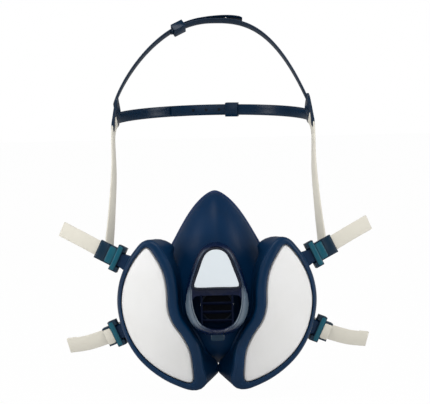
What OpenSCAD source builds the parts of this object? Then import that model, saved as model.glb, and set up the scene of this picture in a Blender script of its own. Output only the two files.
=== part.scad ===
// Half-mask respirator: a soft facepiece with two built-in leaf-shaped filters,
// a central exhalation valve and a strap harness with a plastic head cradle.
// Front is -Y, up is +Z, and the origin is at mouth level in the plane of the face seal.

/* [Facepiece] */
// Half width of the facepiece at the cheeks
cheek_r = 50.7; // [44:0.1:60]
// Extra reach of the nose peak above that radius
nose_reach = 37; // [28:1:46]
// How far down the sides the nose peak spreads, in degrees
nose_spread = 25; // [18:1:32]
// Depth from the cheeks to the flat front of the facepiece
dome_depth = 48; // [40:1:58]
// Wall of the moulded facepiece
wall = 2.4; // [1.8:0.1:3.2]
// Width of the turned-in sealing lip
seal_w = 15; // [10:1:18]

/* [Filters] */
// Distance from the cheeks to the front face of the filters
filter_front = 61; // [56:1:72]
// Radius at which the filter face curves back around the cheek
filter_curve_r = 59; // [55:1:75]
// Greatest depth of a filter housing
pod_depth = 30; // [24:1:36]
// Width of the filter frame on the side towards the nose
rim_inner = 8.2; // [6:0.1:10]
// Width of the filter frame on the outer side
rim_outer = 3.4; // [2.6:0.1:5]
// Wall of a filter housing
pod_wall = 1.6; // [1.2:0.1:2.2]

/* [Valves] */
// Outer radius of the exhalation valve seat
exhale_r = 12.5; // [10:0.5:13]
// Outer radius of an inhalation valve seat
inhale_r = 10.5; // [9:0.5:12]
// Thickness of the rubber valve flaps
flap_t = 0.8; // [0.5:0.1:1.2]
// Distance from the cheeks to the front of the valve cover
cover_front = 70; // [66:1:76]
// Wall of the valve cover
cover_wall = 1.8; // [1.4:0.1:2.4]

/* [Straps] */
// Width of the elastic straps
strap_w = 12; // [10:0.5:14]
// Thickness of the elastic straps
strap_t = 1.2; // [0.8:0.1:1.6]
// Radius of the bar that a buckle hooks on to
bar_r = 1.5; // [1.2:0.1:1.8]
// Free length of an upper strap tail
upper_tail = 36; // [20:1:60]
// Free length of a lower strap tail
lower_tail = 34; // [20:1:60]

/* [Cradle] */
// Half width of the cradle at its corner plates
cradle_half_w = 86; // [76:1:94]
// Height of the rear band above the mouth
cradle_z = 131; // [115:1:145]
// Distance from the corner plates to the back of the head
rear_reach = 86; // [76:1:98]
// Rise of the crown band above the corner plates
crown_rise = 72; // [60:1:84]
// Width of the plastic bands
band_w = 9.4; // [8:0.2:12]
// Thickness of the plastic bands
band_t = 1.4; // [1:0.1:2]

/* [Hidden] */
$fn = 32;

navy = [0.11, 0.20, 0.33];
deep_navy = [0.05, 0.10, 0.20];
teal_navy = [0.08, 0.32, 0.42];
filter_white = [0.93, 0.93, 0.92];
strap_beige = [0.86, 0.83, 0.76];
valve_grey = [0.35, 0.37, 0.40];
carbon_black = [0.08, 0.08, 0.08];

gap = 0.3;             // clearance between pieces that lie against each other
fit = 0.05;            // radial clearance of a pin in its bore
port_fit = 0.15;       // radial clearance of a valve seat in its port
mouth_z = -8;          // height of the facepiece's own centre
nose_lean = 14;        // how far the nose peak stands forward of the cheeks
chin_lean = 4;         // how far the chin stands back from the cheeks
dome_round = [2.6, 0.6];  // exponents of the dome's roundness

// ---------- curves ----------
function mix(a, b, t) = a + (b - a) * t;
function wrap(p, i) = p[(i + len(p)) % len(p)];
function unit(v) = v / norm(v);
function backwards(list) = [for (k = [1 : len(list)]) list[len(list) - k]];

// Point t of the way from control point b to control point c, on a smooth curve
function smooth_point(a, b, c, d, t) =
    0.5 * (2 * b + (c - a) * t + (2 * a - 5 * b + 4 * c - d) * t * t + (3 * b - a - 3 * c + d) * t * t * t);
function closed_curve(p, n) = [for (i = [0 : len(p) - 1]) for (k = [0 : n - 1])
    smooth_point(wrap(p, i - 1), p[i], wrap(p, i + 1), wrap(p, i + 2), k / n)];
function open_curve(p, n) = [for (i = [0 : len(p) - 2]) for (k = [0 : n - 1])
    smooth_point(p[max(i - 1, 0)], p[i], p[i + 1], p[min(i + 2, len(p) - 1)], k / n), p[len(p) - 1]];

// ---------- solids from rings ----------
// Two triangles between each pair of neighbours on two rings, split one way or the other
function ring_faces(n, a, b, other = false) = [for (j = [0 : n - 1]) let (k = (j + 1) % n) each
    other ? [[a + j, b + j, a + k], [a + k, b + j, b + k]] : [[a + j, b + j, b + k], [a + j, b + k, a + k]]];

// A skin over rings of points, closed to one point before the first and after the last
module poled_skin(first, rings, last, other = false) {
    n = len(rings[0]);
    m = len(rings);
    points = [for (r = rings) each r, first, last];
    faces = [for (i = [0 : m - 2]) each ring_faces(n, i * n, (i + 1) * n, other),
        for (j = [0 : n - 1]) [n * m, j, (j + 1) % n],
        for (j = [0 : n - 1]) [n * m + 1, (m - 1) * n + (j + 1) % n, (m - 1) * n + j]];
    polyhedron(points, faces, convexity = 8);
}

// A skin over rings whose last ring joins the first, such as a frame or a lip
module looped_skin(rings) {
    n = len(rings[0]);
    m = len(rings);
    polyhedron([for (r = rings) each r],
        [for (i = [0 : m - 1]) each ring_faces(n, i * n, ((i + 1) % m) * n)], convexity = 8);
}

// A flat band swept along a path; across[i] points along the band's width
module band(path, across, w, t) {
    last = len(path) - 1;
    rings = [for (i = [0 : last])
        let (along = unit(path[min(i + 1, last)] - path[max(i - 1, 0)]),
             side = unit(across[i] - along * (across[i] * along)) * w / 2,
             up = unit(cross(along, side)) * t / 2)
        [path[i] + side + up, path[i] - side + up, path[i] - side - up, path[i] + side - up]];
    points = [for (r = rings) each r];
    faces = [for (i = [0 : last - 1]) each ring_faces(4, i * 4, (i + 1) * 4),
        [0, 1, 2], [0, 2, 3],
        [last * 4, last * 4 + 2, last * 4 + 1], [last * 4, last * 4 + 3, last * 4 + 2]];
    polyhedron(points, faces, convexity = 8);
}

module both_sides(side) {
    mirror([side < 0 ? 1 : 0, 0, 0]) children();
}

// ---------- facepiece surface ----------
// Radius of the rim at an angle from straight up
nose_round = 1.53;     // how blunt the nose's tip is
function rim_r(a) = cheek_r + nose_reach * exp(-pow(a / nose_spread, nose_round));
function rim_y(a) = chin_lean * exp(-pow((180 - a) / 40, 2)) - nose_lean * exp(-pow(a / 40, 2));
function dome_share(r) = pow(max(0, 1 - pow(r, dome_round[0])), dome_round[1]);

// Outer surface of the facepiece, seen from the front, pulled in by an inset
function dome_y(x, z) =
    let (a = abs(atan2(x, z - mouth_z)), r = norm([x, z - mouth_z]) / rim_r(a))
    mix(rim_y(a), -dome_depth, dome_share(r));

rim_steps = 13;
rim_angles = [for (k = [0 : rim_steps]) 180 * pow(k / rim_steps, 1.3)];
rim_all = [for (a = rim_angles) a, for (k = [1 : rim_steps - 1]) -rim_angles[rim_steps - k]];
face_rings = [1, 0.95, 0.87, 0.76, 0.62, 0.46, 0.34];

function face_ring(s, inset) = [for (a = rim_all)
    let (r = s * (rim_r(abs(a)) - inset), x = r * sin(a), z = mouth_z + r * cos(a))
    [x, mix(rim_y(abs(a)), inset - dome_depth, dome_share(s)), z]];

module facepiece_shell() {
    outer = [for (s = backwards(face_rings)) face_ring(s, 0)];
    inner = [for (s = face_rings) face_ring(s, wall)];
    poled_skin([0, -dome_depth, mouth_z], concat(outer, inner), [0, wall - dome_depth, mouth_z]);
}

module facepiece_body() {
    color(navy) difference() {
        facepiece_shell();
        translate([0, -dome_depth + wall + 2, exhale_z]) rotate([90, 0, 0])
            cylinder(r = exhale_r + port_fit, h = wall + 6);
        for (side = [-1, 1]) both_sides(side) inhale_place()
            translate([0, 0, -8]) cylinder(r = inhale_r + port_fit, h = 16);
    }
}

// Soft lip that turns in behind the rim: inward and backward steps of its section
lip_wall = 1.5;
lip_outer = [[0, gap], [-1.2, 3], [0.8, 6.2], [seal_w / 3, 7.8], [seal_w * 2 / 3, 7.6], [seal_w, 6]];
lip_inner = [[seal_w, 6 - lip_wall], [seal_w * 2 / 3, 7.6 - lip_wall], [seal_w / 3 + 0.6, 7.8 - lip_wall],
    [2.6, 4.8], [1.4, 2.8], [wall, gap]];

module face_seal() {
    section = concat(lip_outer, lip_inner);
    color(navy) looped_skin([for (p = section) [for (a = rim_all)
        let (r = rim_r(abs(a)) - p[0]) [r * sin(a), rim_y(abs(a)) + p[1], mouth_z + r * cos(a)]]]);
}

// ---------- exhalation valve ----------
exhale_z = -4;
exhale_seat_front = -dome_depth - 4;
exhale_seat_len = 9;
seat_wall = 1.8;
flap_r = exhale_r - 1;

module spider(r, t, arms) {
    for (k = [0 : arms - 1]) rotate([0, 0, k * 360 / arms]) translate([0, -0.8, 0]) cube([r, 1.6, t]);
    cylinder(r = 2.4, h = t);
}

module exhale_valve_seat() {
    color(deep_navy) translate([0, exhale_seat_front, exhale_z]) rotate([-90, 0, 0]) union() {
        difference() {
            cylinder(r = exhale_r, h = exhale_seat_len);
            translate([0, 0, -1]) cylinder(r = exhale_r - seat_wall, h = exhale_seat_len + 2);
        }
        spider(exhale_r - seat_wall / 2, 2, 6);
    }
}

module exhale_flap() {
    color(valve_grey) translate([0, exhale_seat_front - gap, exhale_z]) rotate([90, 0, 0])
        cylinder(r = flap_r, h = flap_t);
}

// Egg outline of the cover, right half, from the top down
egg_half = [[0, 44.4], [9, 41], [13.8, 35.2], [17.4, 27.4], [21.2, 16.6], [23.7, 5.6], [24, -4],
    [21.5, -12.5], [16.5, -19.5], [9, -24], [0, -25.5]];
egg_centre = [0, 4];
egg = closed_curve(concat(egg_half, [for (k = [1 : 9]) [-egg_half[10 - k][0], egg_half[10 - k][1]]]), 2);
label_tilt = 16;       // lean of the cover's upper face
label_bottom_z = 13.2;
cover_steps = [[1, 0], [0.985, 0.45], [0.95, 0.78], [0.89, 0.96], [0.8, 1], [0.45, 1]];

function cover_y(z) = -cover_front + max(0, z - label_bottom_z + 2) * tan(label_tilt);

function cover_point(p, s, share, inset) =
    let (k = s * (1 - inset / 22), x = p[0] * k, z = mix(egg_centre[1], p[1], k))
    [x, mix(dome_y(x, z) - gap, cover_y(z) + inset, share), z];

module cover_shell() {
    outer = [for (c = backwards(cover_steps)) [for (p = egg) cover_point(p, c[0], c[1], 0)]];
    inner = [for (c = cover_steps) [for (p = egg) cover_point(p, c[0], c[1], cover_wall)]];
    front = cover_y(egg_centre[1]);
    poled_skin([0, front, egg_centre[1]], concat(outer, inner), [0, front + cover_wall, egg_centre[1]]);
}

louvre_z = [2.5, -3, -8.5, -14];
louvre_w = 22;
louvre_h = 2.6;

module exhale_valve_cover() {
    color(deep_navy) difference() {
        cover_shell();
        for (z = louvre_z) translate([-louvre_w / 2, -cover_front - 2, z - louvre_h / 2])
            cube([louvre_w, cover_wall + 8, louvre_h]);
    }
}

label_t = 0.8;
label_outline = [[-16.7, 1.5], [-15.2, 0], [15.2, 0], [16.7, 1.5], [15.9, 4.6], [9.4, 22.8], [6.4, 26.4],
    [2.4, 28.3], [-2.4, 28.3], [-6.4, 26.4], [-9.4, 22.8], [-15.9, 4.6]];

module label_plate() {
    color("whitesmoke") translate([0, cover_y(label_bottom_z) - gap / 2, label_bottom_z])
        rotate([90 - label_tilt, 0, 0]) linear_extrude(label_t) polygon(label_outline);
}

// ---------- filters (drawn on the right, mirrored for the left) ----------
// Opening of the filter frame, from its top point down the nose side and up the outer side
leaf = [[52.4, 41.8], [45.4, 33.4], [39.8, 22], [37.6, 9], [37.2, -4], [33.9, -15], [26.9, -25.5],
    [21.6, -37], [19.8, -49], [20.4, -62.6], [33, -60], [47, -52], [59.5, -41], [68, -28],
    [72.4, -15], [73.8, -2], [71.6, 12], [66.4, 25], [59.6, 35.6]];
leaf_points = closed_curve(leaf, 2);
leaf_out = [for (i = [0 : len(leaf_points) - 1])
    let (t = unit(wrap(leaf_points, i + 1) - wrap(leaf_points, i - 1))) [t[1], -t[0]]];
pod_centre = [47, -12];
face_half = 25.7;      // half width of the flat middle of the filter face
face_lean = 400;       // how slowly the face falls back towards its top and bottom
seat_d = 3;            // depth of the frame's seat below the filter face
ledge = 0.25;          // share of the rim that the frame overhangs the pad
base_flare = 3;        // the housing widens this much towards the nose
base_tuck = 12;        // and narrows this much towards the cheek
dome_gap = 1.3;        // between the housing's back and the curved facepiece
floor_t = 1.8;

function filter_y(p) = let (d = max(0, abs(p[0]) - face_half))
    filter_curve_r - filter_front - sqrt(max(1, pow(filter_curve_r, 2) - d * d)) + p[1] * p[1] / face_lean;
function rim_w(n) = (rim_inner + rim_outer) / 2 - (rim_inner - rim_outer) / 2 * n[0];
function base_grow(n) = (base_flare - base_tuck) / 2 - (base_flare + base_tuck) / 2 * n[0];
function at(p, y) = [p[0], y, p[1]];
chin_corner = [20.4, -61];      // the rim is drawn out here, to a fuller corner
corner_shift = [-3, -1.2];
corner_reach = 5;
function rim_at(i, w) = leaf_points[i] + leaf_out[i] * rim_w(leaf_out[i]) * w
    + w * corner_shift * exp(-pow(norm(leaf_points[i] - chin_corner) / corner_reach, 2));
// Under the chin the walls run in to the middle and meet in a notch; beside the nose they lean to it
notch_z = -60.5;
notch_reach = 9;
brow_corner = [42, 41];
brow_shift = [-8.5, -2];
brow_reach = 8;
function notch_pull(p, n) = min(1, 1.5 * exp(-pow((p[1] - notch_z) / notch_reach, 2))) * max(0, min(1, -1.4 * n));
function brow_pull(p) = exp(-pow(norm(p - brow_corner) / brow_reach, 2));
function flare_at(i, t) = rim_at(i, 1) + leaf_out[i] * base_grow(leaf_out[i]) * t;
function base_at(i, t) = let (p = flare_at(i, t), r = rim_at(i, 1))
    mix(p, [gap / 2, max(p[1], notch_z)], t * notch_pull(r, leaf_out[i][0])) + t * brow_pull(r) * brow_shift;
function pocket_at(i, t) = let (n = leaf_out[i], w = rim_w(n))
    leaf_points[i] + n * min(ledge * w, w + t * base_grow(n) - pod_wall);
function back_y(p) = min(filter_y(p) + pod_depth, dome_y(p[0], p[1]) - dome_gap);
function toward_centre(p, s) = pod_centre + (p - pod_centre) * s;
leaf_range = [0 : len(leaf_points) - 1];

// Ring on the housing's back, s of the way out from its centre, lifted off it towards the front
function back_ring(s, lift) = [for (i = leaf_range)
    let (p = s < 1 ? toward_centre(flare_at(i, 1), s) : base_at(i, 1)) at(p, back_y(p) - lift)];
function pocket_foot(i) = let (p = pocket_at(i, 1)) at(p, back_y(p) - floor_t);
function pocket_lip(i) = let (p = pocket_at(i, 0)) at(p, filter_y(p) + seat_d);

module pod_shell() {
    back = [back_ring(0.4, 0), back_ring(0.7, 0), back_ring(1, 0)];
    outer = [for (c = [[0.5, 17], [0.2, 9], [0, seat_d]])
        [for (i = leaf_range) let (p = base_at(i, c[0])) at(p, min(filter_y(rim_at(i, 1)) + c[1], back_y(p) - 2))]];
    inner = [[for (i = leaf_range) pocket_lip(i)], [for (i = leaf_range) pocket_foot(i)],
        back_ring(0.7, floor_t), back_ring(0.4, floor_t)];
    centre_y = back_y(pod_centre);
    poled_skin(at(pod_centre, centre_y), concat(back, outer, inner), at(pod_centre, centre_y - floor_t));
}

// A layer in the housing's pocket, between two shares of its depth
function layer_edge(i, f) = mix(pocket_lip(i), pocket_foot(i), f) - at(leaf_out[i], 0) * gap;
function layer_inner(i, f, s) = let (e = layer_edge(i, f), p = toward_centre([e[0], e[2]], s))
    at(p, mix(filter_y(p) + seat_d, back_y(p) - floor_t, f));
function layer_mid(f) = at(pod_centre, mix(filter_y(pod_centre) + seat_d, back_y(pod_centre) - floor_t, f));

module layer(f0, f1) {
    poled_skin(layer_mid(f1), [[for (i = leaf_range) layer_inner(i, f1, 0.55)],
        [for (i = leaf_range) layer_edge(i, f1)], [for (i = leaf_range) layer_edge(i, f0)],
        [for (i = leaf_range) layer_inner(i, f0, 0.55)]], layer_mid(f0), true);
}

pad_share = [0.03, 0.24];
bed_share = [0.27, 0.76];
felt_share = [0.79, 0.89];

module particulate_pad(side) {
    crown = [for (c = [[1, 0.5, 3], [1, 0.7, 1.2], [0.8, 0, 0.5], [0.45, 0, 0]])
        [for (i = leaf_range) let (p = toward_centre(leaf_points[i] - leaf_out[i] * c[1], c[0]))
            at(p, filter_y(p) + c[2])]];
    color(filter_white) both_sides(side) poled_skin(layer_mid(pad_share[1]),
        concat([[for (i = leaf_range) layer_inner(i, pad_share[1], 0.55)],
            [for (i = leaf_range) layer_edge(i, pad_share[1])],
            [for (i = leaf_range) layer_edge(i, pad_share[0])]], crown),
        at(pod_centre, filter_y(pod_centre)), true);
}

// Section of the filter frame: shares of the rim's width, and depth below the filter face
frame_section = [[1, 2.8], [1, 1.8], [0.93, 0.3], [0.7, -0.8], [0.35, -0.8], [0.1, 0], [0, 1], [0, 2.5]];

module filter_frame(side) {
    color(navy) both_sides(side) looped_skin([for (c = frame_section)
        [for (i = leaf_range) let (p = rim_at(i, c[0])) at(p, filter_y(p) + c[1])]]);
}

module inner_layer(side, share, tint) {
    color(tint) both_sides(side) difference() {
        layer(share[0], share[1]);
        inhale_place() translate([0, 0, -1]) cylinder(r = inhale_r + gap, h = inhale_out + 1 + gap);
    }
}

module filter_housing(side) {
    color(navy) both_sides(side) difference() {
        union() {
            pod_shell();
            bar_arm(upper_bar, upper_turn, upper_lean, upper_arm);
            bar_arm(lower_bar, lower_turn, lower_lean, lower_arm);
        }
        inhale_place() translate([0, 0, -6]) rotate(1.5) cylinder(r = inhale_r + port_fit, h = 14, $fn = 28);
    }
}

// ---------- inhalation valves ----------
inhale_x = 41;
inhale_z = -5;
inhale_turn = 55;      // the cheek's surface faces this far out from straight ahead
inhale_in = 3.6;
inhale_out = 2.6;

// Places a child's +Z along the valve's outward axis
module inhale_place() {
    translate([inhale_x, dome_y(inhale_x, inhale_z), inhale_z]) rotate([90, 0, inhale_turn]) children();
}

module inhale_valve_seat(side) {
    color(deep_navy) both_sides(side) inhale_place() translate([0, 0, -inhale_in]) union() {
        difference() {
            cylinder(r = inhale_r, h = inhale_in + inhale_out);
            translate([0, 0, -1]) cylinder(r = inhale_r - seat_wall, h = inhale_in + inhale_out + 2);
        }
        spider(inhale_r - seat_wall / 2, 2, 4);
    }
}

module inhale_flap(side) {
    color(valve_grey) both_sides(side) inhale_place() translate([0, 0, -inhale_in - gap - flap_t])
        cylinder(r = inhale_r - 0.8, h = flap_t);
}

// ---------- buckles and clips (right side) ----------
// Centre of each bar, the bar's turn in the front view, and how far the buckle leans back
upper_bar = [76, -19, 29.5];
upper_turn = -26;
upper_lean = 15;
upper_arm = 15;
lower_bar = [78, -21, -28.4];
lower_turn = 24;
lower_lean = 15;
lower_arm = 15;
bar_half = 9.8;
arm_w = 11;
arm_t = 2.6;
arm_flare = 6;
hook_half = [3.4, 2.5, 10.5];   // half sizes of the part that hooks on to the bar
hook_swing = [-12, 27];         // cleared for the arm as the buckle tilts

module bar_place(bar, turn, lean) {
    translate(bar) rotate([0, turn, 0]) rotate([0, 0, lean]) children();
}

// The arm widens smoothly from the bar to its root on the housing
arm_steps = 5;
module arm_slice(share, len) {
    w = arm_w + arm_flare * share * share;
    translate([-len * share, 0, -w / 2]) cylinder(d = arm_t, h = w, $fn = 16);
}

module bar_arm(bar, turn, lean, len) {
    bar_place(bar, turn, lean) {
        translate([0, 0, -bar_half]) cylinder(r = bar_r, h = 2 * bar_half);
        for (k = [1 : arm_steps]) hull() {
            arm_slice((k - 1) / arm_steps, len);
            arm_slice(k / arm_steps, len);
        }
    }
}

// A corner of the arm's path, at an angle, near the bar or far from it, on either side
function swung(a, far, side) = let (x = -far * 3 * hook_half[0], y = side * (arm_t / 2 + gap))
    [x * cos(a) - y * sin(a), x * sin(a) + y * cos(a)];
swing_room = 1;

module hook_block() {
    difference() {
        translate(-hook_half) cube(2 * hook_half);
        translate([0, 0, -hook_half[2] - 1]) cylinder(r = bar_r + fit, h = 2 * hook_half[2] + 2);
        translate([0, 0, -arm_w / 2 - swing_room]) linear_extrude(arm_w + 2 * swing_room) polygon([
            swung(hook_swing[1], 0, -1), swung(hook_swing[1], 1, -1),
            swung(hook_swing[0], 1, 1), swung(hook_swing[0], 0, 1)]);
    }
}

frame_half = strap_w / 2 + 1.5;
frame_t = 2.6;
frame_len = 15;
upper_slots = [[4.8, 8.4], [11, 14.6]];

module upper_buckle(side) {
    color(teal_navy) both_sides(side) bar_place(upper_bar, upper_turn, upper_lean) union() {
        hook_block();
        difference() {
            translate([hook_half[0] - 0.2, -frame_t / 2, -frame_half]) cube([frame_len, frame_t, 2 * frame_half]);
            for (s = upper_slots) translate([s[0], -frame_t, -strap_w / 2 - gap])
                cube([s[1] - s[0], 2 * frame_t, strap_w + 2 * gap]);
        }
    }
}

clip_len = 6.5;
module lower_clip(side) {
    color(teal_navy) both_sides(side) bar_place(lower_bar, lower_turn, lower_lean) union() {
        hook_block();
        difference() {
            translate([hook_half[0] - 0.2, -hook_half[1], -frame_half])
                cube([clip_len, 2 * hook_half[1], 2 * frame_half]);
            translate([hook_half[0] + 1.4, -2 * hook_half[1], -strap_w / 2 - gap])
                cube([clip_len - 3.2, 4 * hook_half[1], strap_w + 2 * gap]);
        }
    }
}

// ---------- elastic straps (right side) ----------
function turned(v, turn, lean) =
    let (a = [v[0] * cos(lean) - v[1] * sin(lean), v[0] * sin(lean) + v[1] * cos(lean), v[2]])
    [a[0] * cos(turn) + a[2] * sin(turn), a[1], a[2] * cos(turn) - a[0] * sin(turn)];
function upper_spot(v) = upper_bar + turned(v, upper_turn, upper_lean);
function lower_spot(v) = lower_bar + turned(v, lower_turn, lower_lean);
upper_across = turned([0, 0, 1], upper_turn, 0);
lower_across = turned([0, 0, 1], lower_turn, 0);
tail_off = frame_t / 2 + gap + 0.1 + strap_t / 2;
clip_off = hook_half[1] + gap + strap_t / 2;

plate_y = 88;
plate_foot_z = cradle_z - 9;
run_top = [cradle_half_w - 2.6, plate_y - 0.6, plate_foot_z - 1.6];

module upper_strap(side) {
    tail = open_curve([upper_spot([5, tail_off, 0]), upper_spot([19, tail_off, 0]),
        upper_spot([19 + upper_tail * 0.5, tail_off + 3, 0]),
        upper_spot([19 + upper_tail, tail_off + 10, -1])], 3);
    run_foot = upper_spot([9.5, tail_off + strap_t + 3 * gap, 0]);
    run = open_curve([run_foot, run_foot + [0, 9, 6], mix(run_foot, run_top, 0.35) + [-1, 0, -3],
        mix(run_foot, run_top, 0.7) + [-1.5, 0, -3], run_top], 4);
    run_across = [for (i = [0 : len(run) - 1]) mix(upper_across, [0.12, -0.65, 0.76], min(1, i / 6))];
    color(strap_beige) both_sides(side) {
        band(tail, [for (p = tail) upper_across], strap_w, strap_t);
        band(run, run_across, strap_w, strap_t);
    }
}

neck_y = 92;
neck_z = -36;
clasp_half = 9;

module neck_strap(side) {
    tail = open_curve([lower_spot([4.4, clip_off, 0]), lower_spot([12, clip_off, 0]),
        lower_spot([12 + lower_tail * 0.5, clip_off + 2, 1]), lower_spot([12 + lower_tail, clip_off + 6, 4])], 3);
    foot = lower_spot([6.5, clip_off + strap_t + gap, 0]);
    run = open_curve([foot, foot + [-2, 12, 0], [70, 32, -33], [57, 56, -35], [38, 78, neck_z],
        [20, 89, neck_z], [clasp_half + gap, neck_y, neck_z]], 3);
    color(strap_beige) both_sides(side) {
        band(tail, [for (p = tail) lower_across], strap_w, strap_t);
        band(run, [for (i = [0 : len(run) - 1]) mix(lower_across, [0, 0, 1], min(1, i / 5))], strap_w, strap_t);
    }
}

clasp_t = 2.4;
module clasp_place() {
    translate([0, neck_y, neck_z]) children();
}

clasp_bar_r = 1.2;
clasp_side = 1.6;
clasp_h = strap_w + 2 * gap + 2 * clasp_side;
hook_h = strap_w - 1;
hook_reach = 2.4;      // outer radius of the hook's rolled end

// The hook rolls round the loop's bar, which stands at the middle of the neck
module neck_clasp_hook() {
    color(teal_navy) clasp_place() difference() {
        union() {
            translate([0, 0, -hook_h / 2]) cylinder(r = hook_reach, h = hook_h);
            translate([-4, -clasp_t / 2, -hook_h / 2]) cube([4, clasp_t, hook_h]);
            translate([-clasp_half, -clasp_t / 2, -clasp_h / 2]) cube([clasp_half - 3.4, clasp_t, clasp_h]);
        }
        translate([0, 0, -clasp_h]) cylinder(r = clasp_bar_r + fit, h = 2 * clasp_h);
        translate([-clasp_half + clasp_side, -clasp_t, -strap_w / 2]) cube([2.2, 2 * clasp_t, strap_w]);
    }
}

module neck_clasp_loop() {
    color(teal_navy) clasp_place() {
        translate([0, 0, -clasp_h / 2]) cylinder(r = clasp_bar_r, h = clasp_h);
        difference() {
            translate([0, -clasp_t / 2, -clasp_h / 2]) cube([clasp_half, clasp_t, clasp_h]);
            translate([-1, -clasp_t, -strap_w / 2]) cube([hook_reach + 1 + gap, 2 * clasp_t, strap_w]);
            translate([clasp_half - 4, -clasp_t, -strap_w / 2]) cube([2.2, 2 * clasp_t, strap_w]);
        }
    }
}

// ---------- head cradle ----------
band_r = cradle_half_w - 4;     // radius of the rear band, seen from above
band_centre_y = plate_y + 6;
rear_rise = 3;
band_gap = 0.4;
arm_pieces = 22;
crown_foot_z = cradle_z + 10;
crown_back = 48;                // the crown band leans back this much at its top
crown_shape = [[2, 1.3], [2.8, 1]];  // roundness of the crown band, left and right
crown_across = unit([0, crown_rise, -crown_back]);
overlap_off = (band_t + band_gap) / 2;
rear_depth = rear_reach - 6;
// Ends of the arms, as distances from the middle, and how far the crown's free tail lifts
rear_ends = [24, -37];
crown_ends = [27, -34];
tail_lift = 0.13;

function turn_to(x) = acos(x / band_r);
function rear_point(a, off) = [(band_r + off) * cos(a), band_centre_y + (rear_depth + off) * sin(a),
    cradle_z + rear_rise * sin(a)];
function crown_point(a, off) =
    let (c = cos(a), s = crown_shape[c < 0 ? 0 : 1], h = pow(max(0, 1 - pow(abs(c), s[0])), 1 / s[1]),
         out = unit([0, crown_back, crown_rise]) * off * h)
    [(band_r + off * (1 - h)) * c, plate_y + 4 + crown_back * h, crown_foot_z + crown_rise * h] + out;
function spread(a0, a1, n) = [for (k = [0 : n]) mix(a0, a1, k / n)];

plate_ball = band_t / 2 + 0.3;
plate_spots = [[-2, 0, -9], [-5.4, 24, -4.4], [-6.2, 24, 4.4], [-7.4, 9, 16], [-7, 3, 21]];
slot_w = 2.6;
module corner_plate() {
    difference() {
        hull() for (p = plate_spots) translate([cradle_half_w + p[0], plate_y + p[1], cradle_z + p[2]])
            sphere(r = plate_ball, $fn = 16);
        for (k = [0 : 1]) translate([cradle_half_w - 12, plate_y + 3.6 + 6 * k, cradle_z - 3.5 + k])
            cube([20, slot_w, strap_w - 1 - 2 * k]);
    }
}

// One moulding: corner plate, rear arm and crown arm; lift raises the crown arm's free end
module cradle_arms(rear_end, crown_end, off, lift) {
    foot = rear_end < 0 ? 5 : 175;
    rear = spread(foot, turn_to(rear_end), arm_pieces);
    crown = spread(foot + (rear_end < 0 ? 1 : -1), turn_to(crown_end), arm_pieces);
    past = [for (a = crown) max(0, (rear_end < 0 ? -1 : 94 - a))];
    band([for (a = rear) rear_point(a, off)], [for (a = rear) [0, 0, 1]], band_w, band_t);
    band([for (i = [0 : arm_pieces]) crown_point(crown[i], off + past[i] * lift)], [for (a = crown) crown_across],
        band_w * 0.8, band_t);
    mirror([rear_end < 0 ? 0 : 1, 0, 0]) corner_plate();
}

module left_cradle_half() {
    color(deep_navy) cradle_arms(rear_ends[0], crown_ends[0], overlap_off, tail_lift);
}

module right_cradle_half() {
    color(deep_navy) cradle_arms(rear_ends[1], crown_ends[1], -overlap_off, 0);
}

// A sleeve that holds two overlapping bands: length along X, width along Z
sleeve_len = 11;
sleeve_wall = 1.3;
sleeve_play = 0.6;
module sleeve(w) {
    h = 2 * band_t + band_gap + 2 * sleeve_play;
    difference() {
        cube([sleeve_len, h + 2 * sleeve_wall, w + 2 * sleeve_wall + gap], center = true);
        cube([sleeve_len + 2, h, w + gap], center = true);
    }
}

// Places a child's X along a path and its Y away from the head
module path_place(here, along, out) {
    x = unit(along);
    z = unit(cross(x, out));
    y = cross(z, x);
    multmatrix([[x[0], y[0], z[0], here[0]], [x[1], y[1], z[1], here[1]], [x[2], y[2], z[2], here[2]], [0, 0, 0, 1]])
        children();
}

slider_x = [17, -28];
module rear_slider() {
    a = turn_to(slider_x[0]);
    color(deep_navy) path_place(rear_point(a, 0), rear_point(a + 2, 0) - rear_point(a - 2, 0), [cos(a), sin(a), 0])
        sleeve(band_w);
}

module crown_slider() {
    a = turn_to(slider_x[1]);
    along = crown_point(a + 2, 0) - crown_point(a - 2, 0);
    color(deep_navy) path_place(crown_point(a, 0), along, cross(crown_across, along)) sleeve(band_w * 0.8);
}

facepiece_body();
face_seal();
exhale_valve_seat();
exhale_flap();
exhale_valve_cover();
label_plate();
filter_housing(-1);  // left_filter_housing
filter_housing(1);  // right_filter_housing
filter_frame(-1);  // left_filter_frame
filter_frame(1);  // right_filter_frame
particulate_pad(-1);  // left_particulate_pad
particulate_pad(1);  // right_particulate_pad
inner_layer(-1, bed_share, carbon_black);  // left_carbon_bed
inner_layer(1, bed_share, carbon_black);  // right_carbon_bed
inner_layer(-1, felt_share, filter_white);  // left_retaining_felt
inner_layer(1, felt_share, filter_white);  // right_retaining_felt
inhale_valve_seat(-1);  // left_inhale_valve_seat
inhale_valve_seat(1);  // right_inhale_valve_seat
inhale_flap(-1);  // left_inhale_flap
inhale_flap(1);  // right_inhale_flap
upper_buckle(-1);  // left_upper_buckle
upper_buckle(1);  // right_upper_buckle
lower_clip(-1);  // left_lower_clip
lower_clip(1);  // right_lower_clip
upper_strap(-1);  // left_upper_strap
upper_strap(1);  // right_upper_strap
neck_strap(-1);  // left_neck_strap
neck_strap(1);  // right_neck_strap
neck_clasp_hook();
neck_clasp_loop();
left_cradle_half();
right_cradle_half();
crown_slider();
rear_slider();
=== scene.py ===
# %% [markdown]
# # A half-mask respirator
# A rubber half mask with two leaf-shaped filters, an outlet valve under a louvred cover, elastic straps
# and a moulded head cradle. The CAD model is the fixed frame. Each visible piece is modelled again
# around it, so it keeps the CAD's sizes and gets the soft edges and the finish of the real thing.
# Lengths are written in millimetres, as on a drawing, and become metres as points are placed.

# %% Load the frame
import math

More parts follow.
